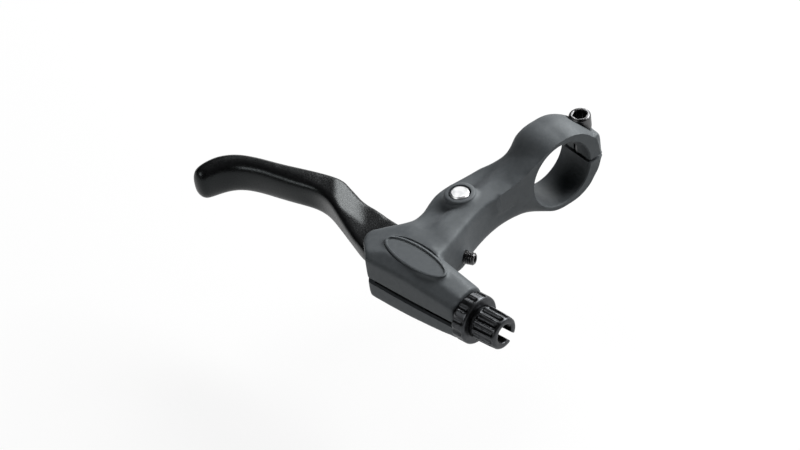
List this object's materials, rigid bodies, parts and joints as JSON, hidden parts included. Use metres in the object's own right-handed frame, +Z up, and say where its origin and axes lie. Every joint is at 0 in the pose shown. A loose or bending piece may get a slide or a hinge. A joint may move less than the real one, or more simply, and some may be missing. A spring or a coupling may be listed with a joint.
{
  "type": "bicycle brake lever",
  "caption": "Right-hand brake lever for a flat bicycle bar: slit bar clamp, forged body with a cable slot, hinged finger blade, reach screw and barrel adjuster.",
  "frame": {"origin": "centre of the handlebar clamp's bore", "axes": "+X along the handlebar towards the cable adjuster, +Y back towards the rider, +Z up along the blade's pivot axis"},
  "size_m": [0.1251, 0.1005, 0.0292],
  "materials": {
    "body_paint": "charcoal grey satin paint on forged aluminium",
    "blade_paint": "black semi-gloss paint on forged aluminium",
    "pin_chrome": "bright plated steel",
    "clip_steel": "spring steel",
    "bushing_plastic": "bearing plastic",
    "black_steel": "black oxide",
    "adjuster_black": "black satin anodised"
  },
  "bodies": {
    "body": {"lever_body": "body_paint", "clamp_bolt": "black_steel", "pivot_pin": "pin_chrome", "pivot_clip": "clip_steel"},
    "lever": {"lever_blade": "blade_paint", "upper_bushing": "bushing_plastic", "lower_bushing": "bushing_plastic"},
    "reach_screw": {"reach_screw": "black_steel"},
    "adjuster": {"barrel_adjuster": "adjuster_black"},
    "lock_ring": {"adjuster_lock_ring": "adjuster_black"}
  },
  "joints": [
    {"name": "lever_pull", "type": "hinge", "parent": "body", "child": "lever", "pos_m": [-0.0018, -0.03285, -0.0035], "axis": [0, 0, -1], "range_deg": [0, 30]},
    {"name": "reach_screw_turn", "type": "hinge", "parent": "body", "child": "reach_screw", "pos_m": [0.01028, -0.04377, -0.0035], "axis": [0.866, 0.5, 0], "continuous": true},
    {"name": "adjuster_turn", "type": "hinge", "parent": "body", "child": "adjuster", "pos_m": [0.04599, -0.0557, -0.0035], "axis": [0.9848, 0.1736, 0], "continuous": true},
    {"name": "lock_ring_turn", "type": "hinge", "parent": "adjuster", "child": "lock_ring", "pos_m": [0.03408, -0.0578, -0.0035], "axis": [0.9848, 0.1736, 0], "continuous": true}
  ]
}
